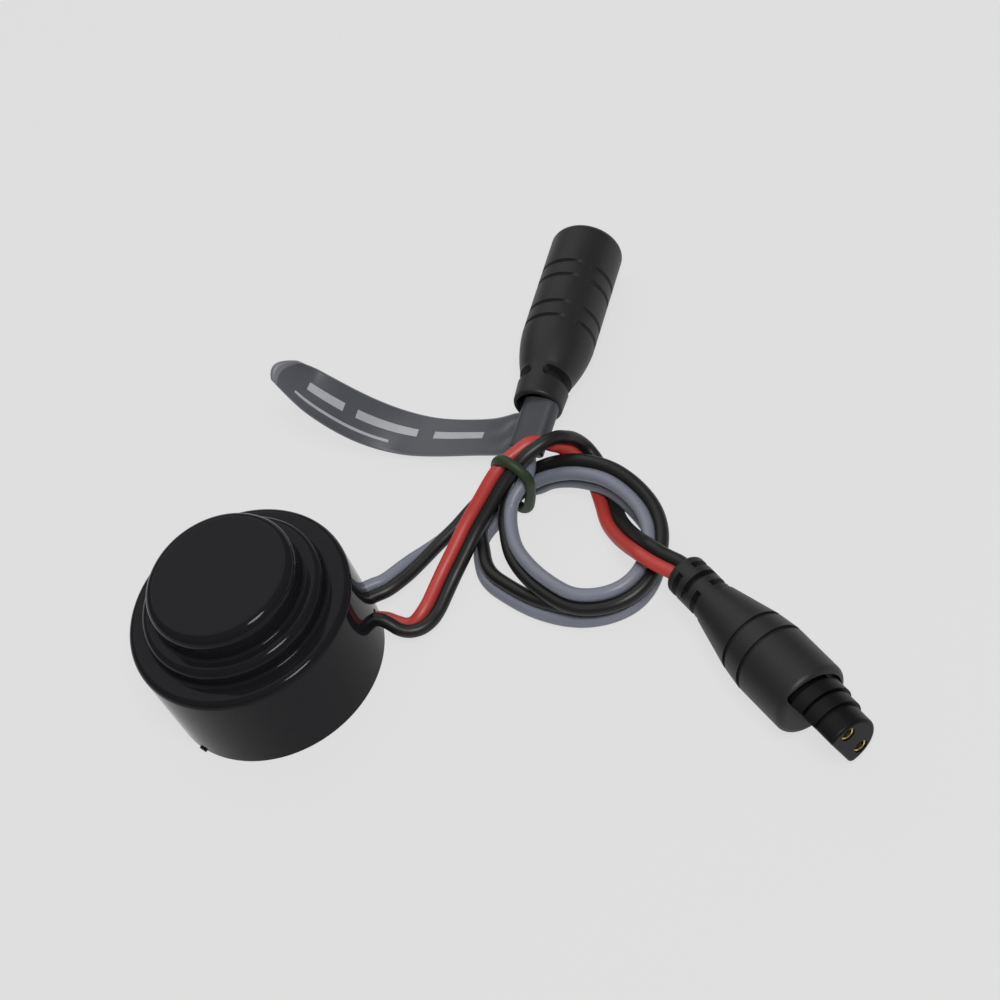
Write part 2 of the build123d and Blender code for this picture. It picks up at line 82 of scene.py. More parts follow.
SENSOR_CORD_ROUTE = (
    (0.0157, 0.0000, 0.0050), (0.0193, 0.0000, 0.0050), (0.0217, -0.0003, 0.0047),
    (0.0247, 0.0008, 0.0041), (0.0284, 0.0025, 0.0033), (0.0317, 0.0039, 0.0026),
    (0.0347, 0.0049, 0.0024), (0.0388, 0.0066, 0.0025), (0.0425, 0.0078, 0.0027),
    (0.0467, 0.0074, 0.0028), (0.0516, 0.0055, 0.0030), (0.0539, 0.0049, 0.0034),
    (0.0575, 0.0019, 0.0045), (0.0607, -0.0016, 0.0048), (0.0627, -0.0046, 0.0045),
    (0.0641, -0.0085, 0.0037), (0.0647, -0.0126, 0.0029), (0.0641, -0.0163, 0.0022),
    (0.0624, -0.0201, 0.0023), (0.0594, -0.0234, 0.0023), (0.0560, -0.0250, 0.0023),
    (0.0521, -0.0248, 0.0023), (0.0482, -0.0232, 0.0023), (0.0449, -0.0205, 0.0023),
    (0.0417, -0.0165, 0.0023), (0.0394, -0.0122, 0.0023), (0.0371, -0.0068, 0.0023),
    (0.0382, -0.0016, 0.0023), (0.0397, 0.0010, 0.0030), (0.0422, 0.0024, 0.0038),
    (0.0449, 0.0036, 0.0045), (0.0481, 0.0044, 0.0050), (0.0511, 0.0048, 0.0055),
    (0.0545, 0.0034, 0.0067), (0.0581, 0.0006, 0.0080), (0.0613, -0.0029, 0.0083),
    (0.0632, -0.0056, 0.0078), (0.0647, -0.0093, 0.0068), (0.0653, -0.0134, 0.0060),
    (0.0646, -0.0173, 0.0055), (0.0627, -0.0208, 0.0053), (0.0603, -0.0235, 0.0053),
    (0.0572, -0.0251, 0.0053), (0.0537, -0.0253, 0.0053), (0.0501, -0.0239, 0.0052),
    (0.0471, -0.0218, 0.0057), (0.0453, -0.0185, 0.0060), (0.0436, -0.0137, 0.0060),
    (0.0428, -0.0082, 0.0060), (0.0437, -0.0039, 0.0063), (0.0452, -0.0001, 0.0068),
    (0.0470, 0.0012, 0.0080), (0.0488, 0.0021, 0.0086), (0.0510, 0.0043, 0.0086),
    (0.0518, 0.0078, 0.0081), (0.0547, 0.0114, 0.0086), (0.0576, 0.0142, 0.0093),
    (0.0606, 0.0183, 0.0089),
)

# Sides of a cord's section, and the share of a wire's diameter from the cord's middle to the wire's
CORD_SIDES = 36
CORD_HALF = 0.49

# Roll of each cord about its line, in degrees, at shares of its length
VALVE_CORD_ROLL = (
    (0.00, -57), (0.05, -52), (0.15, 22), (0.40, 22), (0.47, -10), (0.53, -80), (0.59, -150), (0.64, -180),
    (1.00, -180),
)
SENSOR_CORD_ROLL = (
    (0.00, 10), (0.04, 0), (0.09, -50), (0.14, -70), (0.19, -175), (0.24, -175), (0.33, -58), (0.49, -58),
    (0.55, -180), (0.59, -160), (0.66, -180), (0.72, -205), (0.79, -222), (0.87, -232), (0.92, -200),
    (1.00, -180),
)

# Wire tie: its place, the way of the leads in it, and its route round them.
# The route gives distance across the leads, height and shift along them.
TIE_CENTRE = (0.0487, 0.0032, 0.0)
TIE_ALONG = (0.86, 0.5, 0.0)
TIE_SIDES = 24
TIE_ROUTE = (
    (-0.0003, 0.0141, 0.0), (-0.0023, 0.0134, 0.0), (-0.0039, 0.0115, 0.0),
    (-0.0033, 0.0082, -0.0002), (-0.0022, 0.0050, -0.0005), (-0.0009, 0.0022, -0.0007),
    (0.0009, 0.0010, -0.0008), (0.0028, 0.0020, -0.0007), (0.0037, 0.0052, -0.0004),
    (0.0039, 0.0084, -0.0001), (0.0032, 0.0112, 0.0), (0.0016, 0.0134, 0.0),
)

# The label's two long edges, from its root inside the sleeve to its tip
LABEL_LOWER_EDGE = (
    (0.0509, 0.0094, 0.0074), (0.0500, 0.0104, 0.0072), (0.0480, 0.0124, 0.0056), (0.0444, 0.0170, 0.0034),
    (0.0383, 0.0224, 0.0019), (0.0339, 0.0258, 0.0020), (0.0297, 0.0286, 0.0044), (0.0265, 0.0305, 0.0082),
    (0.0236, 0.0326, 0.0134), (0.0220, 0.0347, 0.0170), (0.0207, 0.0377, 0.0210),
)
LABEL_UPPER_EDGE = (
    (0.0561, 0.0147, 0.0087), (0.0549, 0.0160, 0.0084), (0.0524, 0.0186, 0.0058), (0.0489, 0.0230, 0.0032),
    (0.0433, 0.0282, 0.0019), (0.0393, 0.0316, 0.0030), (0.0356, 0.0335, 0.0069), (0.0325, 0.0352, 0.0112),
    (0.0296, 0.0369, 0.0159), (0.0276, 0.0391, 0.0180), (0.0261, 0.0386, 0.0209),
)

# Ripples from the label's root to a share of its length, and the rounding of its tip from a share on
LABEL_RIPPLE = 0.00035
LABEL_RIPPLE_END = 0.36
LABEL_TIP_START = 0.91
LABEL_TIP_BULGE = 0.0018

# Pale bars on the label, as first and last share along it and low and high share across it, and its pale rim
LABEL_BARS = (
    (0.25, 0.41, 0.46, 0.64), (0.47, 0.70, 0.46, 0.64), (0.75, 0.91, 0.46, 0.64), (0.56, 0.94, 0.20, 0.26),
)
RIM_END, RIM_LOW, RIM_HIGH = 0.985, 0.025, 0.975
BAR_COLOUR = (0.50, 0.51, 0.53)
RIM_COLOUR = (0.30, 0.31, 0.33)

# Sleeve of the label round the lead
SLEEVE_FOOT = (0.05237, 0.00827, 0.00762)
SLEEVE_ALONG = (0.72, 0.69, 0.209)
SLEEVE_WIDTH = 0.0062
SLEEVE_HEIGHT = 0.0040
SLEEVE_LENGTH = 0.0094
SLEEVE_STEPS = 12
SLEEVE_SIDES = 48
SLEEVE_EDGE = 0.0003

# Barrel connector: its axis, the way that the bridges between its grooves face, and the grooves and the grip
# along it. From a bridge the grooves fade in over some degrees round it.
BARREL_FOOT = Vector((0.05768, 0.01424, 0.0093))
BARREL_ALONG = Vector((0.585892, 0.806411, -0.080199))
BARREL_BRIDGE = Vector((0.4757, -0.2621, 0.8396))
BARREL_GROOVES = (0.0153, 0.0185, 0.0246, 0.0278)
BARREL_GRIP = (0.0146, 0.0300)
GRIP_RADIUS = 0.00625
GRIP_INNER = 0.0055
GRIP_SEAM = 0.00004
GRIP_SIDES = 192
ROW_REACH = 0.0001
GROOVE_DEPTH = 0.00055
GROOVE_HALF = 0.00045
GROOVE_ROWS = 5
BRIDGE_HALF = 3.0
BRIDGE_FADE = 22.0
SHARP_EDGE = math.radians(25)
MERGE_REACH = 0.0000002

# Rims of the plug's two contact tubes, and the way that they face
CONTACT_SEATS = ((0.07464, -0.06952, 0.00336), (0.07356, -0.07009, 0.00862))
CONTACT_ALONG = (0.2177, -0.9741, -0.0610)
CONTACT_OUTER = 0.00236
CONTACT_BORE = 0.0017
CONTACT_DEPTH = 0.007
CONTACT_RIM = 0.0001
CONTACT_SIDES = 48

# Moulded finishes: roughness, clouding of the colour, scale and height of the skin, specular level
MOULDED = {
    "housing_gloss": (0.08, 0.15, 700.0, 0.000004, 0.1),
    "potting_black": (0.3, 0.4, 260.0, 0.00006, 0.5),
    "board_laminate": (0.4, 0.5, 900.0, 0.00001, 0.5),
    "divider_black": (0.5, 0.4, 900.0, 0.00001, 0.5),
    "diode_lens": (0.12, 0.2, 900.0, 0.000004, 0.5),
    "chip_body": (0.5, 0.4, 1500.0, 0.00002, 0.5),
    "connector_black": (0.46, 0.5, 1400.0, 0.00002, 0.35),
    "insert_black": (0.4, 0.4, 1400.0, 0.00002, 0.15),
    "tie_green": (0.5, 0.6, 900.0, 0.00003, 0.35),
    "label_wrap": (0.4, 0.5, 420.0, 0.00005, 0.4),
    "lead_red": (0.42, 0.3, 700.0, 0.00002, 0.5),
    "lead_grey": (0.40, 0.2, 700.0, 0.00002, 0.5),
    "lead_black": (0.40, 0.4, 700.0, 0.00002, 0.4),
}

# Hidden pieces: finish, colour and nodes
HIDDEN = (
    ("potting_black", (0.012, 0.012, 0.013), ("potting_fill",)),
    ("board_laminate", (0.01, 0.09, 0.03), ("circuit_board",)),
    ("divider_black", (0.01, 0.01, 0.01), ("light_divider",)),
    ("diode_lens", (0.02, 0.01, 0.025), ("emitter_diode", "receiver_diode")),
    ("chip_body", (0.015, 0.015, 0.016), ("control_chip",)),
)
CAN_COLOUR = (0.6, 0.6, 0.62)

# Stage: floor, sky from below to above, lamps as name, place, size and power, and the camera
FLOOR_SIZE = 3.0
FLOOR_SEEN = 0.9
SKY_STOPS = ((0.0, (0.14,) * 3), (0.5, (0.24,) * 3), (0.8, (0.32,) * 3), (1.0, (0.36,) * 3))
LAMPS = (("key", (0.13, -0.33, 0.61), 0.22, 2.8), ("back", (0.03, 0.50, 0.62), 0.90, 1.6))
LAMP_AIM = Vector((0.035, 0.0, 0.01))
CAMERA_LENS = 100.8
CAMERA_PLACE = (0.044978, -0.293364, 0.356962)
CAMERA_RIGHT = (0.88048, -0.36211, -0.30600)
CAMERA_UP = (0.47409, 0.67251, 0.56831)
CAMERA_BACK = (0.0, -0.64546, 0.76380)


class Socket:
    """A shader socket: arithmetic on it adds Math nodes, and node() adds any other kind."""

    def __init__(self, tree, socket=None):
        self.tree = tree
        self.socket = socket

    def node(self, kind, settings=None, sockets=None, output=0):
        """Add a node, set its settings, then fill or link its sockets, and return one of its outputs."""
        made = self.tree.nodes.new(kind)
        for key, value in (settings or {}).items():
            if key == "stops":
                ramp = made.color_ramp.elements
                while len(ramp) < len(value):
                    ramp.new(0.5)
                for stop, (place, colour) in zip(ramp, value):
                    stop.position = place
                    stop.color = (*colour, 1.0)
            else:
                setattr(made, key, value)
        for key, value in (sockets or {}).items():
            if isinstance(value, Socket):
                self.tree.links.new(value.socket, made.inputs[key])
            else:
                made.inputs[key].default_value = value
        return Socket(self.tree, made.outputs[output])

    def other(self, output):
        """Another output of the node that this socket belongs to."""
        return Socket(self.tree, self.socket.node.outputs[output])

    def math(self, operation, first, second):
        """Add a Math node on two values or links."""
        return self.node("ShaderNodeMath", {"operation": operation}, {0: first, 1: second})

    def __add__(self, other):
        return self.math("ADD", self, other)

    def __radd__(self, other):
        return self.math("ADD", other, self)

    def __sub__(self, other):
        return self.math("SUBTRACT", self, other)

    def __rsub__(self, other):
        return self.math("SUBTRACT", other, self)

    def __mul__(self, other):
        return self.math("MULTIPLY", self, other)

    def __rmul__(self, other):
        return self.math("MULTIPLY", other, self)

    def __gt__(self, other):
        return self.math("GREATER_THAN", self, other)

    def __lt__(self, other):
        return self.math("LESS_THAN", self, other)


def new_finish(name):
    """An empty node material, and a Socket to grow its nodes from."""
    material = bpy.data.materials.new(name)
    material.use_nodes = True
    material.node_tree.nodes.clear()
    return material, Socket(material.node_tree)


def close_finish(tree, **sockets):
    """Principled surface from values and links, wired to the material's output."""
    names = {"specular": "Specular IOR Level"}
    named = {names.get(key, key.replace("_", " ").title()): value for key, value in sockets.items()}
    surface = tree.node("ShaderNodeBsdfPrincipled", None, named)
    end_tree(tree, "ShaderNodeOutputMaterial", surface)


def end_tree(tree, kind, surface):
    """Wire a finished shader to its tree's output."""
    out = tree.tree.nodes.new(kind)
    tree.tree.links.new(surface.socket, out.inputs["Surface"])


def object_place(tree):
    """Object coordinates of the surface."""
    return tree.node("ShaderNodeTexCoord", output="Object")


def noise(tree, place, scale, detail=3.0, roughness=0.55):
    """Cloudy noise, from 0 to 1."""
    sockets = {"Vector": place, "Scale": scale, "Detail": detail, "Roughness": roughness}
    return tree.node("ShaderNodeTexNoise", None, sockets)


def mix_colour(tree, share, first, second):
    """Blend of two colours, each a plain colour or a socket."""
    ends = [end if isinstance(end, Socket) else (*end, 1.0) for end in (first, second)]
    return tree.node("ShaderNodeMix", {"data_type": "RGBA"}, {"Factor": share, 6: ends[0], 7: ends[1]}, 2)


def moulded_finish(name, colour):
    """Moulded plastic: slight clouding of its colour and gloss, and a fine skin."""
    shine, speck, grain_scale, grain_height, specular = MOULDED[name]
    material, tree = new_finish(name)
    place = object_place(tree)
    cloud = noise(tree, place, 90.0)
    skin = noise(tree, place, grain_scale, 2.0)
    tone = mix_colour(tree, cloud * speck, colour, [c * 1.9 + 0.002 for c in colour])
    bump = tree.node("ShaderNodeBump", None, {"Height": skin, "Strength": 0.25, "Distance": grain_height})
    gloss = shine + cloud * 0.08 + skin * 0.04 - 0.06
    close_finish(tree, base_color=tone, roughness=gloss, normal=bump, specular=specular)
    return material


def label_finish(name, colour):
    """Slate film with worn plain bars and pale edges."""
    material, tree = new_finish(name)
    place = object_place(tree)
    cloud = noise(tree, place, 160.0)
    creases = noise(tree, place, 420.0, 4.0)
    along = tree.node("ShaderNodeSeparateXYZ", None, {0: tree.node("ShaderNodeUVMap", {"uv_map": "UVMap"})})
    across = along.other(1)
    bars = None
    for first, last, low, high in LABEL_BARS:
        bar = (along > first) * (along < last) * (across > low) * (across < high)
        bars = bar if bars is None else bars + bar
    rim = (across < RIM_LOW) + (across > RIM_HIGH) + (along > RIM_END)
    tone = mix_colour(tree, cloud * 0.6, colour, [c * 1.35 for c in colour])
    tone = mix_colour(tree, bars * (0.6 + cloud * 0.4), tone, BAR_COLOUR)
    tone = mix_colour(tree, rim * 0.4, tone, RIM_COLOUR)
    bump = tree.node("ShaderNodeBump", None, {"Height": creases, "Strength": 0.3, "Distance": 0.00006})
    close_finish(tree, base_color=tone, roughness=0.34 + cloud * 0.12, normal=bump, specular=0.4)
    return material


def metal_finish(name, colour, shine):
    """Plated metal with faint drawn streaks."""
    material, tree = new_finish(name)
    place = object_place(tree)
    cloud = noise(tree, place, 900.0)
    tone = mix_colour(tree, cloud, colour, [c * 0.8 for c in colour])
    close_finish(tree, base_color=tone, roughness=shine + cloud * 0.12, metallic=1.0)
    return material


def dress(node, material):
    """Give a carried-over solid its finish."""
    NODES[node].data.materials.clear()
    NODES[node].data.materials.append(material)


def spline_line(name, points, closed=False):
    """Points read along the smooth spline that a route's control points give."""
    curve = bpy.data.curves.new(name, "CURVE")
    curve.dimensions = "3D"
    curve.resolution_u = 10
    spline = curve.splines.new("NURBS")
    spline.points.add(len(points) - 1)
    for point, place in zip(spline.points, points):
        point.co = (*place, 1.0)
    spline.order_u = 3
    spline.use_endpoint_u = not closed
    spline.use_cyclic_u = closed
    carrier = bpy.data.objects.new(name, curve)
    mesh = bpy.data.meshes.new_from_object(carrier)
    line = [vertex.co.copy() for vertex in mesh.vertices]
    bpy.data.objects.remove(carrier)
    bpy.data.curves.remove(curve)
    bpy.data.meshes.remove(mesh)
    return line


def share_value(table, share):
    """Smoothly changing value from a table of (share, value)."""
    for (low, first), (high, last) in zip(table, table[1:]):
        if share <= high:
            t = max(0.0, (share - low) / (high - low))
            return first + (last - first) * t * t * (3 - 2 * t)
    return table[-1][1]


def sections(line, roll):
    """Matrix of each cross-section along a line, rolled about it."""
    lengths = [0.0]
    for a, b in zip(line, line[1:]):
        lengths.append(lengths[-1] + (b - a).length)
    made = []
    for i, place in enumerate(line):
        along = (line[min(i + 1, len(line) - 1)] - line[max(i - 1, 0)]).normalized()
        left = Vector((0, 0, 1)).cross(along).normalized()
        up = along.cross(left)
        angle = math.radians(share_value(roll, lengths[i] / lengths[-1]))
        across = left * math.cos(angle) + up * math.sin(angle)
        rise = along.cross(across)
        made.append(Matrix((across, rise, along)).transposed().to_4x4())
        made[-1].translation = place
    return made


def sweep(bm, ring, places):
    """Sweep a ring of edges through a row of sections, and return each step's faces and the last edges."""
    edges = [edge for edge in bm.edges if edge.verts[0] in ring and edge.verts[1] in ring]
    bmesh.ops.transform(bm, matrix=places[0], verts=ring)
    steps = []
    for before, after in zip(places, places[1:]):
        grown = bmesh.ops.extrude_edge_only(bm, edges=edges)["geom"]
        edges = [g for g in grown if isinstance(g, bmesh.types.BMEdge)]
        verts = [g for g in grown if isinstance(g, bmesh.types.BMVert)]
        steps.append([g for g in grown if isinstance(g, bmesh.types.BMFace)])
        for face in steps[-1]:
            face.smooth = True
        bmesh.ops.transform(bm, matrix=after @ before.inverted(), verts=verts)
    return steps, edges


def add_piece(name, bm, finishes):
    """Put a finished bmesh in the scene as a piece of the object."""
    mesh = bpy.data.meshes.new(name)
    bm.to_mesh(mesh)
    bm.free()
    for material in finishes:
        mesh.materials.append(material)
    piece = bpy.data.objects.new(name, mesh)
    bpy.context.scene.collection.objects.link(piece)
    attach(piece, BODY)
    return piece


def twin_cord(name, route, roll, wire, finishes):
    """Two insulated wires joined side by side, swept along a route."""
    line = spline_line(name + "_route", route)
    places = sections(line, roll)
    bm = bmesh.new()
    side = wire * CORD_HALF
    ring = bmesh.ops.create_circle(bm, cap_ends=True, segments=CORD_SIDES, radius=1.0)["verts"]
    for vert in ring:
        turn = math.atan2(vert.co.y, vert.co.x)
        reach = side * abs(math.cos(turn)) + math.sqrt(wire * wire / 4 - (side * math.sin(turn)) ** 2)
        vert.co = (reach * math.cos(turn), reach * math.sin(turn), 0.0)
    steps, last = sweep(bm, ring, places)
    for place, faces in zip(places, steps):
        local = place.inverted()
        for face in faces:
            face.material_index = 0 if (local @ face.calc_center_median()).x > 0 else 1
    bmesh.ops.contextual_create(bm, geom=last)
    bmesh.ops.recalc_face_normals(bm, faces=bm.faces)
    for edge in bm.edges:
        if len({face.material_index for face in edge.link_faces}) > 1:
            edge.smooth = False
    return add_piece(name, bm, finishes), line


def wire_loop(name, line, normal, wire, finish):
    """Closed loop of one round wire that lies about a plane."""
    places = []
    for i, place in enumerate(line):
        along = (line[(i + 1) % len(line)] - line[i - 1]).normalized()
        across = normal.cross(along).normalized()
        places.append(Matrix((across, along.cross(across), along)).transposed().to_4x4())
        places[-1].translation = place
    bm = bmesh.new()
    ring = bmesh.ops.create_circle(bm, segments=TIE_SIDES, radius=wire / 2)["verts"]
    sweep(bm, ring, places + places[:1])
    bmesh.ops.remove_doubles(bm, verts=bm.verts, dist=wire / 1000)
    bmesh.ops.recalc_face_normals(bm, faces=bm.faces)
    return add_piece(name, bm, (finish,))


def place_on(line, share):
    """Place at a share of a line's points, between two of them where it has to be."""
    spot = share * (len(line) - 1)
    index = min(int(spot), len(line) - 2)
    return line[index].lerp(line[index + 1], spot - index)


def label_sheet(name, finishes, thickness):
    """Film of the label: a curling strip between two edge lines."""
    lower = spline_line(name + "_lower", LABEL_LOWER_EDGE)
    upper = spline_line(name + "_upper", LABEL_UPPER_EDGE)
    bm = bmesh.new()
    bm.loops.layers.uv.new("UVMap")
    bmesh.ops.create_grid(bm, x_segments=120, y_segments=20, size=0.5, calc_uvs=True)
    for vert in bm.verts:
        u = vert.co.x + 0.5
        v = vert.co.y + 0.5
        a = place_on(lower, u)
        b = place_on(upper, u)
        ahead = place_on(lower, min(u + 0.01, 1.0)) - place_on(lower, max(u - 0.01, 0.0))
        normal = ahead.cross(b - a).normalized()
        camber = 4 * v * (1 - v)
        root = max(0.0, 1 - u / LABEL_RIPPLE_END)
        ripple = LABEL_RIPPLE * root * math.sin(19 * u + 5 * v) * math.sin(9 * v + 2)
        tip = max(0.0, (u - LABEL_TIP_START) / (1 - LABEL_TIP_START)) ** 2
        bulge = LABEL_TIP_BULGE * tip * camber * (1.25 - 0.5 * v)
        vert.co = a.lerp(b, v) + normal * ripple + ahead.normalized() * bulge
    for face in bm.faces:
        face.smooth = True
    sheet = add_piece(name, bm, finishes)
    film = sheet.modifiers.new("Film", "SOLIDIFY")
    film.thickness = thickness
    film.offset = 0.0
    return sheet


def label_sleeve(name, finish):
    """Flattened sleeve where the label wraps round the lead."""
    along = Vector(SLEEVE_ALONG).normalized()
    across = Vector((0, 0, 1)).cross(along).normalized()
    turn = Matrix((across, along.cross(across), along)).transposed().to_4x4()
    turn.translation = Vector(SLEEVE_FOOT)
    bm = bmesh.new()
    ring = bmesh.ops.create_circle(bm, cap_ends=True, segments=SLEEVE_SIDES, radius=1.0)["verts"]
    for vert in ring:
        angle = math.atan2(vert.co.y, vert.co.x)
        x = math.copysign(abs(math.cos(angle)) ** 0.7, math.cos(angle)) * SLEEVE_WIDTH / 2
        y = math.copysign(abs(math.sin(angle)) ** 0.8, math.sin(angle)) * SLEEVE_HEIGHT / 2
        vert.co = (x, y, 0.0)
    heights = [SLEEVE_LENGTH * i / SLEEVE_STEPS for i in range(SLEEVE_STEPS + 1)]
    last = sweep(bm, ring, [turn @ Matrix.Translation((0, 0, height)) for height in heights])[1]
    bmesh.ops.contextual_create(bm, geom=last)
    bmesh.ops.recalc_face_normals(bm, faces=bm.faces)
    sleeve = add_piece(name, bm, (finish,))
    edge = sleeve.modifiers.new("Edge", "BEVEL")
    edge.width = SLEEVE_EDGE
    edge.segments = 3
    edge.limit_method = "ANGLE"
    return sleeve


def near_row(edges, row):
    """Open edges that lie at a height along the barrel connector."""
    found = []
    for edge in edges:
        middle = (edge.verts[0].co + edge.verts[1].co) / 2 - BARREL_FOOT
        if edge.is_boundary and abs(middle.dot(BARREL_ALONG) - row) < ROW_REACH:
            found.append(edge)
    return found


def barrel_body(name, finish):
    """Barrel connector's shell, with its grip swept anew and the finger grooves pressed in."""
    bm = bmesh.new()
    bm.from_mesh(NODES["barrel_shell"].data)
    bmesh.ops.remove_doubles(bm, verts=bm.verts, dist=MERGE_REACH)
    for row in BARREL_GRIP:
        geometry = bm.verts[:] + bm.edges[:] + bm.faces[:]
        spot = BARREL_FOOT + BARREL_ALONG * row
        bmesh.ops.bisect_plane(bm, geom=geometry, plane_co=spot, plane_no=BARREL_ALONG)
    band = []
    for face in bm.faces:
        spot = face.calc_center_median() - BARREL_FOOT
        height = spot.dot(BARREL_ALONG)
        if BARREL_GRIP[0] < height < BARREL_GRIP[1] and (spot - BARREL_ALONG * height).length > GRIP_INNER:
            band.append(face)
    bmesh.ops.delete(bm, geom=band, context="FACES")
    bridge = (BARREL_BRIDGE - BARREL_ALONG * BARREL_BRIDGE.dot(BARREL_ALONG)).normalized()
    turn = Matrix((bridge, BARREL_ALONG.cross(bridge), BARREL_ALONG)).transposed().to_4x4()
    turn.translation = BARREL_FOOT
    rows = [BARREL_GRIP[0] + GRIP_SEAM, BARREL_GRIP[1] - GRIP_SEAM]
    for i in range(-GROOVE_ROWS, GROOVE_ROWS + 1):
        rows += [place + GROOVE_HALF * i / GROOVE_ROWS for place in BARREL_GROOVES]
    ring = bmesh.ops.create_circle(bm, segments=GRIP_SIDES, radius=GRIP_RADIUS)["verts"]
    steps = sweep(bm, ring, [turn @ Matrix.Translation((0, 0, row)) for row in sorted(rows)])[0]
    back = turn.inverted()
    for vert in {v for step in steps for face in step for v in face.verts}:
        spot = back @ vert.co
        turned = math.degrees(math.atan2(abs(spot.y), abs(spot.x)))
        fade = share_value(((BRIDGE_HALF, 0.0), (BRIDGE_HALF + BRIDGE_FADE, 1.0)), turned)
        across = min(abs(spot.z - place) for place in BARREL_GROOVES) / GROOVE_HALF
        inward = 1 - GROOVE_DEPTH * fade * max(0.0, 1 - across * across) / GRIP_RADIUS
        vert.co = turn @ Vector((spot.x * inward, spot.y * inward, spot.z))
    for row in BARREL_GRIP:
        bmesh.ops.bridge_loops(bm, edges=near_row(bm.edges, row))
    bmesh.ops.recalc_face_normals(bm, faces=bm.faces)
    for face in bm.faces:
        face.smooth = True
    piece = add_piece(name, bm, (finish,))
    carried = piece.data.attributes.get("custom_normal")
    if carried:
        piece.data.attributes.remove(carried)
    piece.data.set_sharp_from_angle(angle=SHARP_EDGE)
    return piece


def contact_tubes(name, finish):
    """Plated tubes of the plug's contacts, each spun from its section."""
    along = Vector(CONTACT_ALONG).normalized()
    outer, bore, rim = CONTACT_OUTER / 2, CONTACT_BORE / 2, CONTACT_RIM
    front = ((outer, -rim), (outer - rim, 0), (bore + rim, 0), (bore, -rim))
    corners = ((outer, -CONTACT_DEPTH), *front, (bore, -CONTACT_DEPTH))
    bm = bmesh.new()
    for seat in CONTACT_SEATS:
        turn = along.to_track_quat("Z", "X").to_matrix().to_4x4()
        turn.translation = seat
        verts = [bm.verts.new(turn @ Vector((radius, 0, height))) for radius, height in corners]
        edges = [bm.edges.new(pair) for pair in zip(verts, verts[1:] + verts[:1])]
        bmesh.ops.spin(bm, geom=verts + edges, cent=seat, axis=along, angle=2 * math.pi, steps=CONTACT_SIDES,
                       use_merge=True)
    bmesh.ops.remove_doubles(bm, verts=bm.verts, dist=rim / 100)
    bmesh.ops.recalc_face_normals(bm, faces=bm.faces)
    return add_piece(name, bm, (finish,))


def floor_finish(name, colour):
    """Paper that the camera and mirrors see mostly in its plain tone, with faint shadows."""
    material, tree = new_finish(name)
    rays = tree.node("ShaderNodeLightPath", output="Is Camera Ray")
    share = (rays + rays.other("Is Glossy Ray") + rays.other("Is Transmission Ray")) * FLOOR_SEEN
    paper = tree.node("ShaderNodeBsdfDiffuse", None, {"Color": (*colour, 1.0)})
    plain = tree.node("ShaderNodeEmission", None, {"Color": (*colour, 1.0), "Strength": 1.0})
    mixed = tree.node("ShaderNodeMixShader", None, {0: share, 1: paper, 2: plain})
    end_tree(tree, "ShaderNodeOutputMaterial", mixed)
    return material


def lay_floor(scene, finish):
    """Wide flat floor under the object."""
    bm = bmesh.new()
    bmesh.ops.create_grid(bm, x_segments=1, y_segments=1, size=FLOOR_SIZE)
    mesh = bpy.data.meshes.new("floor")
    bm.to_mesh(mesh)
    bm.free()
    mesh.materials.append(finish)
    floor = bpy.data.objects.new("floor", mesh)
    scene.collection.objects.link(floor)


def set_sky(scene):
    """Soft grey dome that grows brighter upwards."""
    world = bpy.data.worlds.new("studio")
    scene.world = world
    world.use_nodes = True
    world.node_tree.nodes.clear()
    tree = Socket(world.node_tree)
    way = tree.node("ShaderNodeTexCoord", output="Generated")
    height = tree.node("ShaderNodeSeparateXYZ", None, {0: way}, 2)
    dome = tree.node("ShaderNodeValToRGB", {"stops": SKY_STOPS}, {0: height})
    sky = tree.node("ShaderNodeBackground", None, {"Color": dome, "Strength": 1.0})
    end_tree(tree, "ShaderNodeOutputWorld", sky)


def hang_lamp(scene, name, place, size, power):
    """Round soft lamp that faces the object."""
    lamp = bpy.data.lights.new(name, "AREA")
    lamp.shape = "DISK"
    lamp.size = size
    lamp.energy = power
    light = bpy.data.objects.new(name, lamp)
    light.location = place
    aim = LAMP_AIM - Vector(place)
    light.rotation_euler = aim.to_track_quat("-Z", "Y").to_euler()
    scene.collection.objects.link(light)


def set_camera(scene):
    """Camera at the photograph's angle."""
    camera = bpy.data.cameras.new("camera")
    camera.lens = CAMERA_LENS
    camera.sensor_width = 36.0
    camera.clip_start = 0.01
    camera.clip_end = 20.0
    viewer = bpy.data.objects.new("camera", camera)
    turn = Matrix((CAMERA_RIGHT, CAMERA_UP, CAMERA_BACK)).transposed().to_4x4()
    turn.translation = CAMERA_PLACE
    viewer.matrix_world = turn
    scene.collection.objects.link(viewer)
    scene.camera = viewer


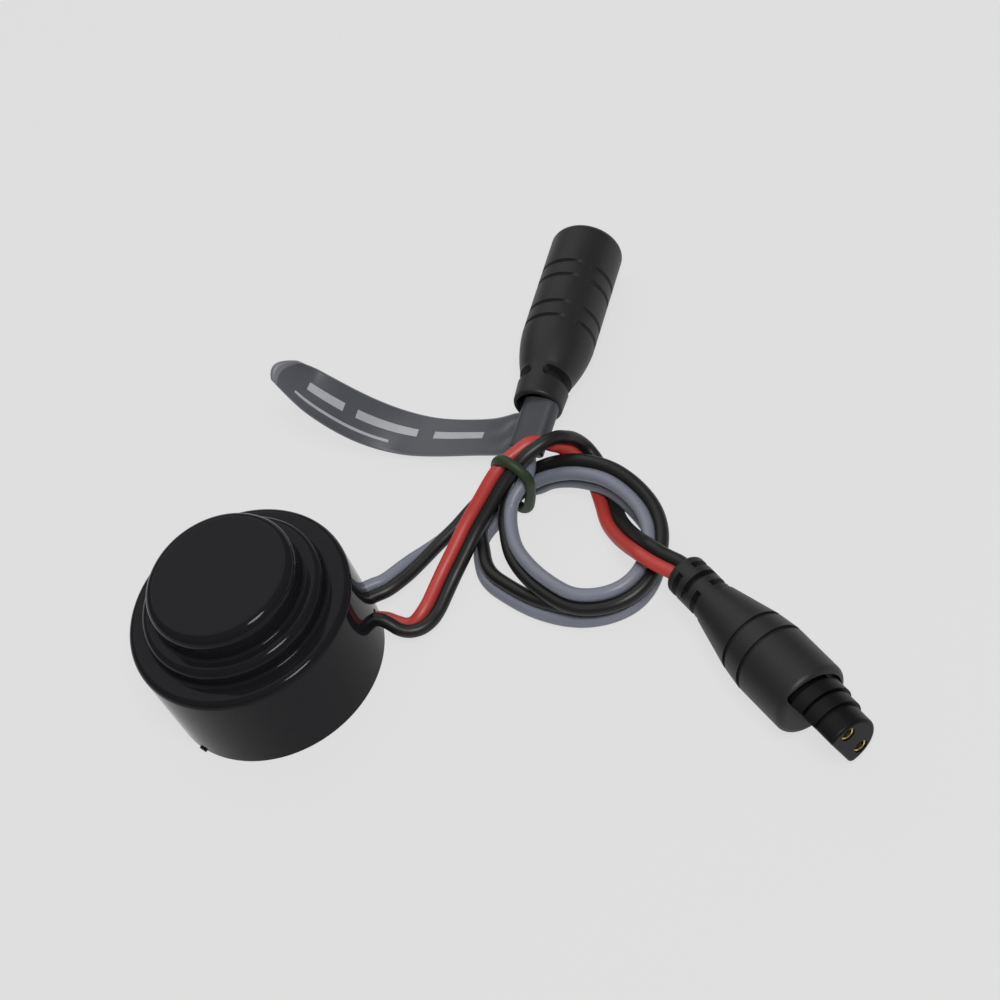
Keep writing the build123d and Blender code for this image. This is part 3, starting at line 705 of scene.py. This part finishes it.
class SENSORMODULE_PG_settings(bpy.types.PropertyGroup):
    """Sizes and colours of the dressed pieces."""

    wire_diameter: bpy.props.FloatProperty(
        name="Wire Diameter", description="Over the insulation of one wire", default=0.00225, unit="LENGTH",
        precision=5
    )
    valve_length: bpy.props.FloatProperty(
        name="Valve Lead", description="Length of the red and black lead", default=0.0945, unit="LENGTH",
        precision=4
    )
    sensor_length: bpy.props.FloatProperty(
        name="Sensor Lead", description="Length of the grey and black lead", default=0.224, unit="LENGTH",
        precision=4
    )
    tie_diameter: bpy.props.FloatProperty(
        name="Tie Diameter", description="Over the tie's sheath", default=0.0018, unit="LENGTH", precision=5
    )
    film_thickness: bpy.props.FloatProperty(
        name="Film", description="Thickness of the label's film", default=0.0003, unit="LENGTH", precision=5
    )
    red: bpy.props.FloatVectorProperty(
        name="Red Wire", description="Insulation of the valve lead's live wire", default=(0.40, 0.036, 0.030),
        subtype="COLOR", size=3
    )
    grey: bpy.props.FloatVectorProperty(
        name="Grey Wire", description="Insulation of the sensor lead's live wire", default=(0.17, 0.18, 0.22),
        subtype="COLOR", size=3
    )
    black: bpy.props.FloatVectorProperty(
        name="Black Wire", description="Insulation of the return wires", default=(0.006, 0.0058, 0.0055),
        subtype="COLOR", size=3
    )
    housing: bpy.props.FloatVectorProperty(
        name="Housing", description="Infrared-passing black of the sensor", default=(0.010, 0.0097, 0.0117),
        subtype="COLOR", size=3
    )
    overmould: bpy.props.FloatVectorProperty(
        name="Overmould", description="Satin black of the connectors", default=(0.0108, 0.0108, 0.0115),
        subtype="COLOR", size=3
    )
    gold: bpy.props.FloatVectorProperty(
        name="Contacts", description="Plating of the contacts", default=(1.0, 0.80, 0.42),
        subtype="COLOR", size=3
    )
    tie: bpy.props.FloatVectorProperty(
        name="Tie", description="Sheath of the wire tie", default=(0.016, 0.028, 0.010),
        subtype="COLOR", size=3
    )
    label: bpy.props.FloatVectorProperty(
        name="Label", description="Slate film of the label", default=(0.074, 0.079, 0.090),
        subtype="COLOR", size=3
    )
    floor: bpy.props.FloatVectorProperty(
        name="Floor", description="Pale floor", default=(0.745, 0.745, 0.745), subtype="COLOR", size=3
    )


class SENSORMODULE_OT_housing(bpy.types.Operator):
    """Finish the sensor housing, its sealing compound and the pieces inside"""

    bl_idname = "sensormodule.housing"
    bl_label = "Sensor Housing"

    def execute(self, context):
        settings = context.scene.sensor_module
        dress("sensor_housing", moulded_finish("housing_gloss", settings.housing))
        for name, colour, nodes in HIDDEN:
            material = moulded_finish(name, colour)
            for node in nodes:
                dress(node, material)
        dress("storage_capacitor", metal_finish("capacitor_can", CAN_COLOUR, 0.3))
        return {"FINISHED"}


class SENSORMODULE_OT_connectors(bpy.types.Operator):
    """Finish the plug and the barrel connector"""

    bl_idname = "sensormodule.connectors"
    bl_label = "Connectors"

    def execute(self, context):
        settings = context.scene.sensor_module
        satin = moulded_finish("connector_black", settings.overmould)
        dress("plug_shell", satin)
        barrel = barrel_body("barrel_body", satin)
        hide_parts("barrel_shell")
        insert = moulded_finish("insert_black", [c * 0.35 for c in settings.overmould])
        for node in ("plug_core", "barrel_core"):
            dress(node, insert)
        plated = metal_finish("contact_gold", settings.gold, 0.2)
        dress("barrel_pins", plated)
        tubes = contact_tubes("contact_tubes", plated)
        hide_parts("plug_contacts")
        return {"FINISHED"}


class SENSORMODULE_OT_tie(bpy.types.Operator):
    """Bend the wire tie round the leads"""

    bl_idname = "sensormodule.tie"
    bl_label = "Wire Tie"

    def execute(self, context):
        settings = context.scene.sensor_module
        sheath = moulded_finish("tie_green", settings.tie)
        along = Vector(TIE_ALONG).normalized()
        across = Vector((0, 0, 1)).cross(along)
        centre = Vector(TIE_CENTRE)
        route = [centre + across * a + along * t + Vector((0, 0, z)) for a, z, t in TIE_ROUTE]
        line = spline_line("wire_tie_route", route, closed=True)
        tie = wire_loop("wire_tie", line, along, settings.tie_diameter, sheath)
        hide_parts("lead_tie")
        return {"FINISHED"}


class SENSORMODULE_OT_label(bpy.types.Operator):
    """Curl the label's film and wrap its sleeve round the lead"""

    bl_idname = "sensormodule.label"
    bl_label = "Label"

    def execute(self, context):
        settings = context.scene.sensor_module
        film = label_finish("label_film", settings.label)
        sheet = label_sheet("label_sheet", (film,), settings.film_thickness)
        wrap = moulded_finish("label_wrap", [c * 0.5 for c in settings.label])
        sleeve = label_sleeve("label_sleeve", wrap)
        for piece in (sheet, sleeve):
            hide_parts("label_flag")
        return {"FINISHED"}


class SENSORMODULE_OT_cords(bpy.types.Operator):
    """Sweep the two twin-wire leads along their routes"""

    bl_idname = "sensormodule.cords"
    bl_label = "Leads"

    def execute(self, context):
        settings = context.scene.sensor_module
        wire = settings.wire_diameter
        red = moulded_finish("lead_red", settings.red)
        grey = moulded_finish("lead_grey", settings.grey)
        black = moulded_finish("lead_black", settings.black)
        cord, line = twin_cord("valve_cord", VALVE_CORD_ROUTE, VALVE_CORD_ROLL, wire, (red, black))
        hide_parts("valve_lead")
        cord, line = twin_cord("sensor_cord", SENSOR_CORD_ROUTE, SENSOR_CORD_ROLL, wire, (grey, black))
        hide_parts("sensor_lead", "lead_coil", "connector_lead")
        held = [NODES["barrel_core"], NODES["barrel_pins"]]
        held += [bpy.data.objects[n] for n in ("barrel_body", "label_sheet", "label_sleeve", "wire_tie")]
        return {"FINISHED"}


class SENSORMODULE_OT_stage(bpy.types.Operator):
    """Set the floor, the lights and the camera"""

    bl_idname = "sensormodule.stage"
    bl_label = "Stage"

    def execute(self, context):
        scene = context.scene
        scene.view_settings.view_transform = "Standard"
        lay_floor(scene, floor_finish("floor_paper", scene.sensor_module.floor))
        set_sky(scene)
        for lamp in LAMPS:
            hang_lamp(scene, *lamp)
        set_camera(scene)
        return {"FINISHED"}


class SENSORMODULE_PT_panel(bpy.types.Panel):
    """Builders of the sensor module's pieces"""

    bl_idname = "SENSORMODULE_PT_panel"
    bl_label = "Sensor Module"
    bl_space_type = "VIEW_3D"
    bl_region_type = "UI"
    bl_category = "Sensor Module"

    def draw(self, context):
        for operator in OPERATORS:
            self.layout.operator(operator.bl_idname)


OPERATORS = (
    SENSORMODULE_OT_housing,
    SENSORMODULE_OT_connectors,
    SENSORMODULE_OT_tie,
    SENSORMODULE_OT_label,
    SENSORMODULE_OT_cords,
    SENSORMODULE_OT_stage,
)
CLASSES = (SENSORMODULE_PG_settings, *OPERATORS, SENSORMODULE_PT_panel)


def register():
    """Add the classes and the scene's settings."""
    for cls in CLASSES:
        bpy.utils.register_class(cls)
    bpy.types.Scene.sensor_module = bpy.props.PointerProperty(type=SENSORMODULE_PG_settings)


def unregister():
    """Take the settings and the classes away again."""
    del bpy.types.Scene.sensor_module
    for cls in reversed(CLASSES):
        bpy.utils.unregister_class(cls)


def main():
    """Build every piece and the stage."""
    register()
    bpy.ops.sensormodule.housing()
    bpy.ops.sensormodule.connectors()
    bpy.ops.sensormodule.tie()
    bpy.ops.sensormodule.label()
    bpy.ops.sensormodule.cords()
    bpy.ops.sensormodule.stage()


if __name__ == "__main__":
    main()
